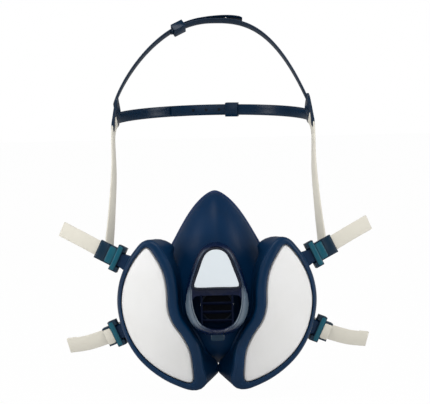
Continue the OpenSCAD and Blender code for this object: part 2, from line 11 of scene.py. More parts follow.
import bmesh
import bpy
from mathutils import Matrix, Vector


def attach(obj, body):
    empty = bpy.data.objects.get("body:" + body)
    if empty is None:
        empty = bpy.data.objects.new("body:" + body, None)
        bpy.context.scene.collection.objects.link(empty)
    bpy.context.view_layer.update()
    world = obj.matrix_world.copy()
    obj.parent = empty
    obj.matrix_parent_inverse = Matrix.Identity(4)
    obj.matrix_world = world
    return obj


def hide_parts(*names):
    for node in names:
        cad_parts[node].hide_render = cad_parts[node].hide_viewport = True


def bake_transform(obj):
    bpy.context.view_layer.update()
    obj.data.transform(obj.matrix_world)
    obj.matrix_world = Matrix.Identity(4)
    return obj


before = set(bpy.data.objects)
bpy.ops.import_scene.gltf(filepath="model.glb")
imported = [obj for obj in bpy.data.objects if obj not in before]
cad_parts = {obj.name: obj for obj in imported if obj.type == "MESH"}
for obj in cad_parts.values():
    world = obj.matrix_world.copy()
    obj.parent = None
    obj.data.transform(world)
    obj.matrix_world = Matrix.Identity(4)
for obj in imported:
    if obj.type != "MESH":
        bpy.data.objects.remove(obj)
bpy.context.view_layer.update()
scene = bpy.context.scene
MM = 0.001

# %% [markdown]
# The camera comes first. It stands 1.3 m in front, a little above the mask, and looks slightly down.
# A long lens keeps the mask and the cradle behind it near their true sizes. The camera leans over by
# about a degree, so the mask hangs a little crooked, as one laid out by hand does.

# %% Camera
CAMERA_DISTANCE = 1300
CAMERA_HEIGHT = math.radians(6)
CAMERA_ROLL = math.radians(1.3)
LENS = 138.5
aim = Vector((0.2, 0, 70))
away = Vector((0, -math.cos(CAMERA_HEIGHT), math.sin(CAMERA_HEIGHT)))
level_up = Vector((0, math.sin(CAMERA_HEIGHT), math.cos(CAMERA_HEIGHT)))
level_right = Vector((1, 0, 0))
cam_up = level_up * math.cos(CAMERA_ROLL) + level_right * math.sin(CAMERA_ROLL)
cam_right = level_right * math.cos(CAMERA_ROLL) - level_up * math.sin(CAMERA_ROLL)
cam_data = bpy.data.cameras.new("camera")
camera = bpy.data.objects.new("camera", cam_data)
scene.collection.objects.link(camera)
turn = Matrix((cam_right, cam_up, away)).transposed()
camera.matrix_world = Matrix.Translation((aim + away * CAMERA_DISTANCE) * MM) @ turn.to_4x4()
cam_data.sensor_width = 36
cam_data.lens = LENS
cam_data.clip_start, cam_data.clip_end = 0.05, 20
scene.camera = camera
print("camera at", [round(c, 3) for c in camera.location])

# %% [markdown]
# ## Helpers
# Nearly every piece here is a skin over a row of rings: a mask is rings shrinking to its crown, a strap
# is one small ring carried along a path. By hand that is a circle, extruded edge by edge and pulled
# into place, so the helper does the same: it adds a circle, extrudes it, and moves each new ring.

# %% Loft helper
def deselect():
    if bpy.context.object and bpy.context.object.mode != "OBJECT":
        bpy.ops.object.mode_set(mode="OBJECT")
    bpy.ops.object.select_all(action="DESELECT")


def pick(ob):
    deselect()
    ob.select_set(True)
    bpy.context.view_layer.objects.active = ob


def loft(name, rings, closed=False, uv=None):
    """A skin over rings of points in millimetres; closed joins the last ring to the first."""
    deselect()
    count = len(rings[0])
    bpy.ops.mesh.primitive_circle_add(vertices=count, radius=0.01)
    ob = bpy.context.object
    ob.name = ob.data.name = name
    bpy.ops.object.mode_set(mode="EDIT")
    bpy.ops.mesh.select_mode(type="EDGE")
    bpy.ops.mesh.select_all(action="SELECT")
    order = list(range(count))
    marks = {}
    steps = rings + ([rings[0]] if closed else [])
    for k, ring in enumerate(steps):
        if k:
            bpy.ops.mesh.extrude_edges_move()
        bm = bmesh.from_edit_mesh(ob.data)
        bm.verts.ensure_lookup_table()
        if k:
            near = [[e.other_vert(bm.verts[i]) for e in bm.verts[i].link_edges] for i in order]
            order = [next(v.index for v in ends if v.select) for ends in near]
        for j, i in enumerate(order):
            bm.verts[i].co = Vector(ring[j]) * MM
            if uv:
                marks[i] = uv[k % len(rings)][j]
        bmesh.update_edit_mesh(ob.data)
        if not closed and k in (0, len(steps) - 1):
            bpy.ops.mesh.edge_face_add()
            if k == 0:
                bpy.ops.mesh.select_all(action="DESELECT")
                bm = bmesh.from_edit_mesh(ob.data)
                for e in bm.edges:
                    e.select = True
                bm.select_mode = {"EDGE"}
                bmesh.update_edit_mesh(ob.data)
    if uv:
        bm = bmesh.from_edit_mesh(ob.data)
        layer = bm.loops.layers.uv.new("UVMap")
        for face in bm.faces:
            for corner in face.loops:
                corner[layer].uv = marks[corner.vert.index]
        bmesh.update_edit_mesh(ob.data)
    bpy.ops.mesh.select_mode(type="VERT")
    bpy.ops.mesh.select_all(action="SELECT")
    bpy.ops.mesh.remove_doubles(threshold=0.000002)
    bpy.ops.mesh.normals_make_consistent(inside=False)
    bpy.ops.object.mode_set(mode="OBJECT")
    return ob


# %% [markdown]
# A few more tools of the bench: a finishing pass (smooth subdivision, rounded edges), a cutter for
# holes, a mirror for the left side, and one call that hands a piece to the frame.

# %% Finishing helpers
def run_modifier(ob, kind, **settings):
    pick(ob)
    mod = ob.modifiers.new(kind.lower(), kind)
    for key, value in settings.items():
        setattr(mod, key, value)
    bpy.ops.object.modifier_apply(modifier=mod.name)
    return ob


def rounded(ob, levels=1):
    return run_modifier(ob, "SUBSURF", levels=levels, render_levels=levels)


def bevelled(ob, width):
    limit = {"limit_method": "ANGLE", "angle_limit": math.radians(35)}
    return run_modifier(ob, "BEVEL", width=width * MM, segments=2, **limit)


def cut(ob, cutter):
    run_modifier(ob, "BOOLEAN", object=cutter, operation="DIFFERENCE", solver="EXACT", use_self=True)
    bpy.data.objects.remove(cutter)
    return ob


def drill(ob, centre, direction, radius, length, sides):
    """Cuts a round hole through ob, centred at a point and running along a direction."""
    deselect()
    bpy.ops.mesh.primitive_cylinder_add(vertices=sides, radius=radius * MM, depth=length * MM)
    cutter = bpy.context.object
    spin = Vector(direction).to_track_quat("Z", "Y").to_matrix().to_4x4()
    cutter.data.transform(Matrix.Translation(Vector(centre) * MM) @ spin)
    return cut(ob, cutter)


def join(name, *parts):
    pick(parts[0])
    for p in parts:
        p.select_set(True)
    bpy.ops.object.join()
    parts[0].name = parts[0].data.name = name
    return parts[0]


def mirror(mesh):
    mesh.transform(Matrix.Scale(-1, 4, (1, 0, 0)))
    mesh.flip_normals()


def other_side(ob, name):
    """The left-hand copy of a right-hand piece, with a mesh of its own that faces outward."""
    twin = ob.copy()
    twin.data = ob.data.copy()
    twin.name = twin.data.name = name
    scene.collection.objects.link(twin)
    mirror(twin.data)
    return twin


def hand_over(ob, finish, body, nodes=(), crease=40):
    """Gives a finished piece its material, its body, and the CAD nodes that it stands for."""
    pick(ob)
    bpy.ops.object.shade_smooth_by_angle(angle=math.radians(crease))
    ob.data.materials.clear()
    ob.data.materials.append(finish)
    if body:
        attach(ob, body)
    if nodes:
        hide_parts(*nodes)
    print(ob.name, len(ob.data.polygons), "faces")
    return ob


def both_sides(ob, name, finish, node_name, crease=40):
    """Hands over a right-hand piece of the mask and its left-hand twin."""
    pieces = {"right": ob, "left": other_side(ob, "left_" + name)}
    for side_name, piece in pieces.items():
        hand_over(piece, finish, "mask", [side_name + "_" + node_name], crease)
    return pieces.values()


# %% [markdown]
# Curves and mixes are used for every outline, so they get short names here.

# %% Curve helpers
def mix(a, b, t):
    return a + (b - a) * t


def sin_deg(a):
    return math.sin(math.radians(a))


def cos_deg(a):
    return math.cos(math.radians(a))


def smooth_point(a, b, c, d, t):
    """Point t of the way from control point b to control point c, on a smooth curve."""
    a, b, c, d = map(Vector, (a, b, c, d))
    pull, bend = (c - a) * t, (2 * a - 5 * b + 4 * c - d) * t * t
    return 0.5 * (2 * b + pull + bend + (3 * b - a - 3 * c + d) * t * t * t)


def closed_curve(p, n):
    m = len(p)
    spans = [(p[i - 1], p[i], p[(i + 1) % m], p[(i + 2) % m]) for i in range(m)]
    return [smooth_point(*span, k / n) for span in spans for k in range(n)]


def open_curve(p, n):
    ends = [p[0], *p, p[-1]]
    spans = [ends[i : i + 4] for i in range(len(p) - 1)]
    return [smooth_point(*span, k / n) for span in spans for k in range(n)] + [Vector(p[-1])]


def outward_normals(points):
    m = len(points)
    sides = [(points[(i + 1) % m] - points[i - 1]).normalized() for i in range(m)]
    return [Vector((s[1], -s[0])) for s in sides]


def spread(a, b, n):
    return [mix(a, b, k / n) for k in range(n + 1)]


# %% [markdown]
# ## Finishes
# Each finish is a small tree of nodes on Object coordinates. Moulded rubber and plastic get a fine
# grain in the bump and a slow drift in colour and gloss, because no moulding is perfectly even.

# %% Moulded finishes
def plug(tree, made, inputs):
    """Links each input that is given a socket, and sets each that is given a value."""
    for key, value in inputs.items():
        if isinstance(value, bpy.types.NodeSocket):
            tree.links.new(value, made.inputs[key])
        else:
            made.inputs[key].default_value = value


def new_finish(name, colour, roughness):
    mat = bpy.data.materials.new(name)
    mat.use_nodes = True
    shader = mat.node_tree.nodes["Principled BSDF"]
    plug(mat.node_tree, shader, {"Base Color": (*colour, 1), "Roughness": roughness})
    return mat, mat.node_tree, shader


def node(tree, kind, inputs=(), **settings):
    made = tree.nodes.new("ShaderNode" + kind)
    for key, value in settings.items():
        setattr(made, key, value)
    plug(tree, made, dict(inputs))
    return made


def ramp(tree, factor, low, high, start=0.3, end=0.7):
    made = node(tree, "ValToRGB", {"Fac": factor})
    for stop, place, colour in zip(made.color_ramp.elements, (start, end), (low, high)):
        stop.position, stop.color = place, (*colour, 1)
    return made.outputs["Color"]


def drift(tree, where, scale, low, high):
    """A slow noise that wanders between two values or two colours."""
    noise = node(tree, "TexNoise", {"Vector": where, "Scale": scale, "Detail": 3})
    return ramp(tree, noise.outputs["Fac"], low, high)


def add_bump(tree, shader, height, strength, distance):
    bump = node(tree, "Bump", {"Strength": strength, "Distance": distance, "Height": height})
    plug(tree, shader, {"Normal": bump.outputs["Normal"]})


def moulded(name, colour, roughness, grain=0.06, shift=0.12, coat=0.0, shine=0.25):
    mat, tree, shader = new_finish(name, colour, roughness)
    where = node(tree, "TexCoord").outputs["Object"]
    darker, lighter = [c * (1 - shift) for c in colour], [c * (1 + shift) for c in colour]
    tint = drift(tree, where, 38, darker, lighter)
    rough = drift(tree, where, 90, [roughness - 0.05] * 3, [roughness + 0.06] * 3)
    plug(tree, shader, {"Base Color": tint, "Roughness": rough, "Specular IOR Level": shine})
    fine = node(tree, "TexNoise", {"Vector": where, "Scale": 2600, "Detail": 2.0})
    add_bump(tree, shader, fine.outputs["Fac"], grain, 0.0003)
    plug(tree, shader, {"Coat Weight": coat, "Coat Roughness": 0.2})
    return mat


rubber_navy = moulded("rubber_navy", (0.0005, 0.0200, 0.064), 0.44, grain=0.08, shine=0.12)
seal_navy = moulded("seal_navy", (0.0015, 0.020, 0.082), 0.42, grain=0.03)
housing_navy = moulded("housing_navy", (0.0005, 0.0205, 0.064), 0.42, grain=0.08, shine=0.22)
frame_navy = moulded("frame_navy", (0.0005, 0.0220, 0.066), 0.34, grain=0.05, shine=0.18)
COVER_DARK = (0.001, 0.006, 0.032)
cover_navy = moulded("cover_navy", COVER_DARK, 0.26, grain=0.02, coat=0.1, shine=0.15)
# A paler grey-blue that paints the side lamps' reflection on the valve cover's slope: a painted
# highlight.
cover_painted_highlight = moulded("cover_painted_highlight", (0.105, 0.145, 0.190), 0.24, grain=0.02, coat=0.4)
grille_black = moulded("grille_black", (0.003, 0.006, 0.020), 0.6, grain=0.04, shine=0.05)
# A near-black ring round the label: its darkness partly paints the shade of the recess there.
bezel_painted_shade = moulded("bezel_painted_shade", (0.002, 0.005, 0.016), 0.3, grain=0.03)
buckle_teal = moulded("buckle_teal", (0.003, 0.095, 0.142), 0.34, grain=0.07, coat=0.1)
buckle_edge = moulded("buckle_edge", (0.001, 0.022, 0.048), 0.34, grain=0.07, coat=0.1)
cradle_navy = moulded("cradle_navy", (0.0010, 0.015, 0.040), 0.26, grain=0.04, coat=0.15, shine=0.15)
seat_plastic = moulded("seat_plastic", (0.012, 0.025, 0.052), 0.4, grain=0.05)
flap_rubber = moulded("flap_rubber", (0.006, 0.008, 0.014), 0.6, grain=0.04, shine=0.1)
label_blank = moulded("label_blank", (0.74, 0.80, 0.84), 0.32, grain=0.01, shift=0.015, shine=0.4)
print(len(bpy.data.materials), "finishes")

# %% [markdown]
# The cover's slope carries a painted highlight: a pale colour in the middle of its height that fades to
# the cover's own dark blue above and below, so the painted light ends in points. Two eased steps on the
# height are multiplied for that.

# %% Painted highlight crescents on the cover
tree = cover_painted_highlight.node_tree
shader = tree.nodes["Principled BSDF"]
where = node(tree, "TexCoord").outputs["Object"]
height = node(tree, "SeparateXYZ", {"Vector": where}).outputs["Z"]


def eased(start, end, low, high):
    """Goes smoothly from low to high between two heights, given in metres."""
    span = {"Value": height, 1: start, 2: end, 3: low, 4: high}
    return node(tree, "MapRange", span, interpolation_type="SMOOTHSTEP").outputs["Result"]


below, above = eased(-0.021, -0.012, 0.0, 1.0), eased(0.007, 0.0145, 1.0, 0.32)
lit = node(tree, "Math", {0: below, 1: above}, operation="MULTIPLY").outputs["Value"]
pale = shader.inputs["Base Color"].links[0].from_socket
colours = {"Factor": lit, "A": (*COVER_DARK, 1), "B": pale}
tapered = node(tree, "Mix", colours, data_type="RGBA")
plug(tree, shader, {"Base Color": tapered.outputs["Result"]})
print("crescents fade over", len(tree.nodes), "nodes")

# %% [markdown]
# Felt is white but never flat: short fibres lie in all directions. Two noises, one stretched, give the
# fibres in the bump, and a faint warm drift keeps the white from looking painted.

# %% Felt and carbon
def fibrous(name, colour, warm, strength):
    mat, tree, shader = new_finish(name, colour, 0.92)
    where = node(tree, "TexCoord").outputs["Object"]
    tint = drift(tree, where, 26, warm, colour)
    plug(tree, shader, {"Base Color": tint, "Sheen Weight": 0.25, "Sheen Roughness": 0.6})
    lie = {"Vector": where, "Rotation": (0.3, 0.5, 0.7), "Scale": (1, 1, 4)}
    stretched = node(tree, "Mapping", lie)
    fibres = []
    for vector, scale, detail, distortion in (
        (stretched.outputs["Vector"], 650.0, 5.0, 1.2), (where, 1900.0, 4.0, 0.8),
    ):
        look = {"Vector": vector, "Scale": scale, "Detail": detail, "Distortion": distortion}
        fibres.append(node(tree, "TexNoise", look).outputs["Fac"])
    both = node(tree, "Math", {0: fibres[0], 1: fibres[1]}, operation="ADD")
    add_bump(tree, shader, both.outputs["Value"], strength, 0.0004)
    return mat


filter_felt = fibrous("filter_felt", (0.88, 0.88, 0.875), (0.85, 0.845, 0.83), 0.3)
inner_felt = fibrous("inner_felt", (0.72, 0.72, 0.70), (0.66, 0.65, 0.62), 0.4)

carbon_black, tree, shader = new_finish("carbon_black", (0.012, 0.012, 0.013), 0.7)
where = node(tree, "TexCoord").outputs["Object"]
grains = node(tree, "TexVoronoi", {"Vector": where, "Scale": 900.0})
add_bump(tree, shader, grains.outputs["Distance"], 0.9, 0.0008)
grey = drift(tree, where, 700, (0.008, 0.008, 0.009), (0.03, 0.03, 0.032))
plug(tree, shader, {"Base Color": grey})


# %% [markdown]
# Elastic webbing is woven: warp ribs run along it and weft rows cross it, about a millimetre apart.
# Its UV map holds real lengths, across and along, so two waves on it give ribs that follow each bend.

# %% Woven elastic
def woven(name, colour, valley_shade):
    mat, tree, shader = new_finish(name, colour, 0.85)
    uv = node(tree, "UVMap", uv_map="UVMap").outputs["UV"]
    rib = node(tree, "TexWave", {"Vector": uv, "Scale": 320.0}, bands_direction="X")
    wavy = {"Vector": uv, "Scale": 240.0, "Distortion": 0.6}
    row = node(tree, "TexWave", wavy, bands_direction="Y")
    weave = node(tree, "Math", {0: rib.outputs["Fac"], 1: row.outputs["Fac"]}, operation="MULTIPLY")
    fuzz = node(tree, "TexNoise", {"Vector": uv, "Scale": 1500.0, "Detail": 3.0})
    terms = {0: fuzz.outputs["Fac"], 1: 0.5, 2: weave.outputs["Value"]}
    height = node(tree, "Math", terms, operation="MULTIPLY_ADD").outputs["Value"]
    add_bump(tree, shader, height, 0.55, 0.0003)
    # The valleys of the weave get a darker colour: painted shade in the hollows between the threads.
    tint = ramp(tree, height, valley_shade, colour, 0.0, 0.6)
    plug(tree, shader, {"Base Color": tint, "Sheen Weight": 0.2})
    return mat


# The second colour is the painted shade in the weave's valleys.
elastic_beige = woven("elastic_beige", (0.82, 0.79, 0.70), (0.66, 0.63, 0.54))
print("woven elastic made")

# %% [markdown]
# ## The facepiece
# The rubber facepiece is a dome with a tall nose and a round chin. It is built as rings around the
# face: a round rim stretched up to the nose, shrinking to the crown of the dome, then the same again
# inside the wall. The nose ridge is rounded a little, as the rubber is. Three round ports are drilled.

# %% Facepiece shape
CHEEK_R, NOSE_REACH, NOSE_SPREAD, DOME_DEPTH, WALL = 50.7, 37, 25, 48, 2.4
MOUTH_Z, NOSE_LEAN, CHIN_LEAN = -8, 14, 4
NOSE_ROUND = 1.53


def rim_r(a):
    return CHEEK_R + NOSE_REACH * math.exp(-((a / NOSE_SPREAD) ** NOSE_ROUND))


def rim_y(a):
    return CHIN_LEAN * math.exp(-(((180 - a) / 40) ** 2)) - NOSE_LEAN * math.exp(-((a / 40) ** 2))


def dome_share(r):
    return max(0, 1 - r**2.6) ** 0.6


def dome_y(x, z):
    a = abs(math.degrees(math.atan2(x, z - MOUTH_Z)))
    return mix(rim_y(a), -DOME_DEPTH, dome_share(math.hypot(x, z - MOUTH_Z) / rim_r(a)))


half_turns = [180 * (k / 30) ** 1.3 for k in range(31)]
rim_angles = half_turns + [-a for a in reversed(half_turns[1:-1])]


def face_ring(share, inset):
    ring = []
    for a in rim_angles:
        r = share * (rim_r(abs(a)) - inset)
        y = mix(rim_y(abs(a)), inset - DOME_DEPTH, dome_share(share))
        ring.append((r * sin_deg(a), y, MOUTH_Z + r * cos_deg(a)))
    return ring


face_steps = [1, 0.985, 0.95, 0.9, 0.83, 0.74, 0.64, 0.52, 0.38, 0.22, 0.08]
outside = [face_ring(s, 0) for s in reversed(face_steps)]
inside = [face_ring(s, WALL) for s in face_steps]
facepiece = rounded(loft("facepiece", outside + inside))

# %% Ports in the facepiece
EXHALE_R, EXHALE_Z, INHALE_R, PORT_FIT = 12.5, -4, 10.5, 0.15
INHALE_X, INHALE_Z, INHALE_TURN = 41, -5, 55
valve_axis = Vector((sin_deg(INHALE_TURN), -cos_deg(INHALE_TURN), 0))
valve_place = Vector((INHALE_X, dome_y(INHALE_X, INHALE_Z), INHALE_Z))
drill(facepiece, (0, -DOME_DEPTH, EXHALE_Z), (0, 1, 0), EXHALE_R + PORT_FIT, 14, 48)
for side in (1, -1):
    flip = Vector((side, 1, 1))
    drill(facepiece, valve_place * flip, valve_axis * flip, INHALE_R + PORT_FIT, 15, 48)
hand_over(facepiece, rubber_navy, "mask", ["facepiece_body"])

# %% [markdown]
# The face seal is the soft lip that turns inward behind the rim. It is one closed loop of section
# around the face, thin and rolled at its inner edge, so the last ring joins the first.

# %% Face seal
SEAL_W, GAP, LIP = 15, 0.3, 1.5
lip_section = [
    (0, GAP), (-0.9, 1.6), (-1.2, 3), (-0.5, 5), (0.8, 6.2), (SEAL_W / 3, 7.8), (SEAL_W * 2 / 3, 7.6),
    (SEAL_W, 6), (SEAL_W + 0.5, 5.2), (SEAL_W, 6 - LIP), (SEAL_W * 2 / 3, 7.6 - LIP),
    (SEAL_W / 3 + 0.6, 7.8 - LIP), (2.6, 4.8), (1.4, 2.8), (WALL, GAP),
]


def lip_ring(inward, back):
    ring = []
    for a in rim_angles:
        r = rim_r(abs(a)) - inward
        ring.append((r * sin_deg(a), rim_y(abs(a)) + back, MOUTH_Z + r * cos_deg(a)))
    return ring


seal = rounded(loft("face_seal_lip", [lip_ring(*p) for p in lip_section], closed=True))
hand_over(seal, seal_navy, "mask", ["face_seal"])

# %% [markdown]
# ## Filters
# Each filter is a leaf: a point at the top, a hollow side that hugs the nose and a full outer side.
# The housing carries it out from the cheek, a frame holds the white pad in, and a pair of arms ends
# in the bars that the buckles hook on to. All follow one leaf outline, so they are nested by number.

# %% The leaf outline
leaf = [
    (52.4, 41.8), (45.4, 33.4), (39.8, 22), (37.6, 9), (37.2, -4), (33.9, -15), (26.9, -25.5),
    (21.6, -37), (19.8, -49), (20.3, -63.3), (33, -60), (47, -52), (59.5, -41), (68, -28),
    (72.4, -15), (73.8, -2), (71.6, 12), (66.4, 25), (59.6, 35.6),
]
leaf_points = closed_curve(leaf, 4)
leaf_out = outward_normals(leaf_points)
LEAF = range(len(leaf_points))
POD_CENTRE = Vector((47, -12))
FACE_HALF, FACE_LEAN, FILTER_CURVE_R, FILTER_FRONT, POD_DEPTH = 25.7, 400, 59, 61, 30
RIM_INNER, RIM_OUTER, BASE_FLARE, BASE_TUCK, LEDGE = 8.2, 3.4, 3, 12, 0.25
SEAT_D, POD_WALL, DOME_GAP, FLOOR_T = 3, 1.6, 1.3, 1.8


def filter_y(p):
    d = max(0, abs(p[0]) - FACE_HALF)
    drop = math.sqrt(max(1, FILTER_CURVE_R**2 - d * d))
    return FILTER_CURVE_R - FILTER_FRONT - drop + p[1] ** 2 / FACE_LEAN


def rim_w(n):
    return (RIM_INNER + RIM_OUTER) / 2 - (RIM_INNER - RIM_OUTER) / 2 * n[0]


def base_grow(n):
    return (BASE_FLARE - BASE_TUCK) / 2 - (BASE_FLARE + BASE_TUCK) / 2 * n[0]


def at(p, y):
    return Vector((p[0], y, p[1]))


CHIN_CORNER, CORNER_SHIFT, CORNER_REACH = Vector((20.4, -61)), Vector((-3, -1.2)), 5


def rim_at(i, w):
    drawn = math.exp(-(((leaf_points[i] - CHIN_CORNER).length / CORNER_REACH) ** 2))
    return leaf_points[i] + leaf_out[i] * rim_w(leaf_out[i]) * w + CORNER_SHIFT * (w * drawn)


# Under the chin the walls run in to the middle and meet in a notch; beside the nose they lean to it.
NOTCH_Z, NOTCH_REACH = -60.5, 10.5
BROW_CORNER, BROW_SHIFT, BROW_REACH = Vector((42, 41)), Vector((-8.5, -2)), 8


def flare_at(i, t):
    return rim_at(i, 1) + leaf_out[i] * base_grow(leaf_out[i]) * t


def base_at(i, t):
    p, r = flare_at(i, t), rim_at(i, 1)
    inward = max(0, min(1, -1.4 * leaf_out[i][0]))
    notch = min(1, 2.4 * math.exp(-(((r[1] - NOTCH_Z) / NOTCH_REACH) ** 2))) * inward
    brow = math.exp(-(((r - BROW_CORNER).length / BROW_REACH) ** 2))
    return p.lerp(Vector((-1.3, max(p[1], NOTCH_Z))), t * notch) + BROW_SHIFT * (t * brow)


def pocket_at(i, t):
    n = leaf_out[i]
    w = rim_w(n)
    return leaf_points[i] + n * min(LEDGE * w, w + t * base_grow(n) - POD_WALL)


def back_y(p):
    return min(filter_y(p) + POD_DEPTH, dome_y(p[0], p[1]) - DOME_GAP)


def toward_centre(p, s):
    return POD_CENTRE + (p - POD_CENTRE) * s


def back_ring(s, lift):
    spots = [toward_centre(flare_at(i, 1), s) if s < 0.95 else base_at(i, 1) for i in LEAF]
    return [at(p, back_y(p) - lift) for p in spots]


print("leaf outline has", len(leaf_points), "points")

# %% [markdown]
# The housing's skin runs from the middle of its back, out to the cheek, forward along the side wall to
# the rim, and down into the pocket that holds the filter layers.

# %% Filter housing shells
side_wall = [(0.85, 24), (0.5, 17), (0.3, 12), (0.14, 7.5), (0.04, 4.4), (0, SEAT_D)]
outer_rings = []
for flare, depth in side_wall:
    spots = [base_at(i, flare) for i in LEAF]
    depths = [min(filter_y(rim_at(i, 1)) + depth, back_y(spots[i]) - 2) for i in LEAF]
    outer_rings.append([at(p, y) for p, y in zip(spots, depths)])
pocket_lip = [at(pocket_at(i, 0), filter_y(pocket_at(i, 0)) + SEAT_D) for i in LEAF]
pocket_foot = [at(pocket_at(i, 1), back_y(pocket_at(i, 1)) - FLOOR_T) for i in LEAF]
back_rings = [back_ring(s, 0) for s in (0.1, 0.4, 0.7, 1)]
floor_rings = [back_ring(s, FLOOR_T) for s in (0.7, 0.4, 0.1)]
pocket = [pocket_lip, pocket_foot] + floor_rings
pod = rounded(loft("right_housing_shell", back_rings + outer_rings + pocket))
drill(pod, valve_place, valve_axis, INHALE_R + PORT_FIT, 12, 48)
print("housing shell", len(pod.data.polygons), "faces")

# %% [markdown]
# Two arms reach out from the housing's side to round bars. Each arm is a flat, rounded section that
# widens toward its root, carried along a straight line, and the bar is a turned pin with rounded ends.

# %% Bar arms
UPPER_BAR, UPPER_TURN, UPPER_ARM = Vector((76, -19, 29.5)), -26, 15
LOWER_BAR, LOWER_TURN, LOWER_ARM = Vector((78, -21, -28.4)), 24, 15
BAR_LEAN, BAR_R, BAR_HALF = 15, 1.5, 9.8
ARM_W, ARM_T, ARM_FLARE = 11, 2.6, 6


def turned(v, turn_deg, lean_deg=BAR_LEAN):
    lean = Matrix.Rotation(math.radians(lean_deg), 3, "Z")
    return Matrix.Rotation(math.radians(turn_deg), 3, "Y") @ (lean @ Vector(v))


def upper_spot(v):
    return UPPER_BAR + turned(v, UPPER_TURN)


def lower_spot(v):
    return LOWER_BAR + turned(v, LOWER_TURN)


def flat_section(width, thick, radius, corner=3):
    """A rounded rectangle as (across, up) points, going round once."""
    points = []
    for sx, sy, start in ((1, 1, 0), (-1, 1, 90), (-1, -1, 180), (1, -1, 270)):
        for k in range(corner + 1):
            a = start + 90 * k / corner
            x, y = sx * (width / 2 - radius), sy * (thick / 2 - radius)
            points.append((x + radius * cos_deg(a), y + radius * sin_deg(a)))
    return points


def bar_and_arm(name, spot, length):
    slices = []
    for share in spread(0, 1, 6):
        section = flat_section(ARM_W + ARM_FLARE * share**2, ARM_T, 1.1)
        slices.append([spot((-length * share, up, across)) for across, up in section])
    arm = loft(name + "_arm", slices)
    ends = [(-BAR_HALF, 1.0), (-BAR_HALF + 0.4, BAR_R), (BAR_HALF - 0.4, BAR_R), (BAR_HALF, 1.0)]
    turns = [[spot((r * cos_deg(15 * k), r * sin_deg(15 * k), z)) for k in range(24)] for z, r in ends]
    return join(name, arm, loft(name + "_pin", turns))


upper_arm = bar_and_arm("upper_arm", upper_spot, UPPER_ARM)
lower_arm = bar_and_arm("lower_arm", lower_spot, LOWER_ARM)
housing = join("right_housing", pod, upper_arm, lower_arm)
both_sides(housing, "housing", housing_navy, "filter_housing", crease=32)

# %% [markdown]
# The frame is the thick rounded rim that you see around the white pad: broad beside the nose and slim
# on the outer side. It is a closed loop of section that stands a little proud of the pad.

# %% Filter frames
frame_section = [
    (1, 2.8), (1.01, 1.8), (0.96, 0.5), (0.86, -0.35), (0.68, -0.85), (0.42, -0.9), (0.2, -0.45),
    (0.06, 0.35), (0, 1.3), (0, 2.5),
]
frame_rings = []
for share, depth in frame_section:
    spots = [rim_at(i, share) for i in LEAF]
    frame_rings.append([at(p, filter_y(p) + depth) for p in spots])
rim = rounded(loft("right_frame", frame_rings, closed=True))
both_sides(rim, "frame", frame_navy, "filter_frame")

# %% [markdown]
# The particulate pad is stiff pressed felt. Its face follows the filter's curve and turns down at the
# edge, where the frame grips it. It is declared as padded, but hardly filled: nothing puffs it up.

# %% Filter pads
PAD_SHARE = (0.03, 0.24)


def layer_edge(i, f):
    spot = pocket_lip[i].lerp(pocket_foot[i], f)
    return spot - at(leaf_out[i], 0) * GAP


def layer_ring(f, s):
    ring = []
    for i in LEAF:
        edge = layer_edge(i, f)
        p = toward_centre(Vector((edge[0], edge[2])), s)
        inner = at(p, mix(filter_y(p) + SEAT_D, back_y(p) - FLOOR_T, f))
        ring.append(edge if s == 1 else inner)
    return ring


def crown_ring(s, inward, sink):
    spots = [toward_centre(leaf_points[i] - leaf_out[i] * inward, s) for i in LEAF]
    return [at(p, filter_y(p) + sink) for p in spots]


crown = [crown_ring(*c) for c in ((1, 0.5, 3), (1, 0.6, 2), (1, 0.9, 1.2), (0.96, 0.6, 0.85))]
crown += [crown_ring(s, 0, 0.5 * s) for s in (0.88, 0.74, 0.58, 0.42, 0.25, 0.1)]
back = [layer_ring(PAD_SHARE[1], s) for s in (0.1, 0.55, 1)] + [layer_ring(PAD_SHARE[0], 1)]
pad = rounded(loft("right_pad", back + crown))
for piece in both_sides(pad, "pad", filter_felt, "particulate_pad", crease=60):
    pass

# %% [markdown]
# Behind the pad, out of sight, lie the carbon bed and a retaining felt. The felt is modelled as a soft
# layer with a hole for the valve; the bed of granules keeps its CAD shape and gets a granular finish.

# %% Inner layers
FELT_SHARE = (0.79, 0.89)
felt_rings = [layer_ring(FELT_SHARE[1], s) for s in (0.1, 0.55, 1)]
felt_rings += [layer_ring(FELT_SHARE[0], s) for s in (1, 0.55, 0.1)]
felt = loft("right_inner_felt", felt_rings)
drill(felt, valve_place, valve_axis, INHALE_R + GAP, 8, 40)
for piece in both_sides(felt, "inner_felt", inner_felt, "retaining_felt"):
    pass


def dress(node_name, finish):
    """Gives a CAD node that keeps its own shape a better finish."""
    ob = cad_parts[node_name]
    ob.data.materials.clear()
    ob.data.materials.append(finish)


for side_name in ("left", "right"):
    dress(side_name + "_carbon_bed", carbon_black)
print("inner layers done")

# %% [markdown]
# ## The outlet valve
# The valve cover is an egg-shaped cap. Its side wall rises from the facepiece, then a polished slope
# leans in to a flat panel, and that slope is painted with two pale crescents of highlight. Below the
# label the panel is cut away and filled with rails and louvres.

# %% Valve cover outlines
COVER_FRONT, COVER_WALL, LABEL_BOTTOM_Z, LABEL_TILT = 70, 1.8, 13.2, 16
EGG_CENTRE_Z = 4
egg_half = [
    (0, 44.4), (9, 41), (13.8, 35.2), (17.4, 27.4), (21.2, 16.6), (23.7, 5.6), (24, -4),
    (21.5, -12.5), (16.5, -19.5), (9, -24), (0, -25.5),
]
panel_half = [
    (0, 43.2), (6.9, 40.6), (11.7, 34.8), (15.1, 27.4), (18.6, 17), (19.9, 7.5), (19.0, -1.5),
    (16.8, -9.5), (13.2, -15.8), (7.2, -19.6), (0, -20.8),
]


def whole_outline(half):
    mirrored = [(-x, z) for x, z in reversed(half) if x]
    return closed_curve(half + mirrored, 4)


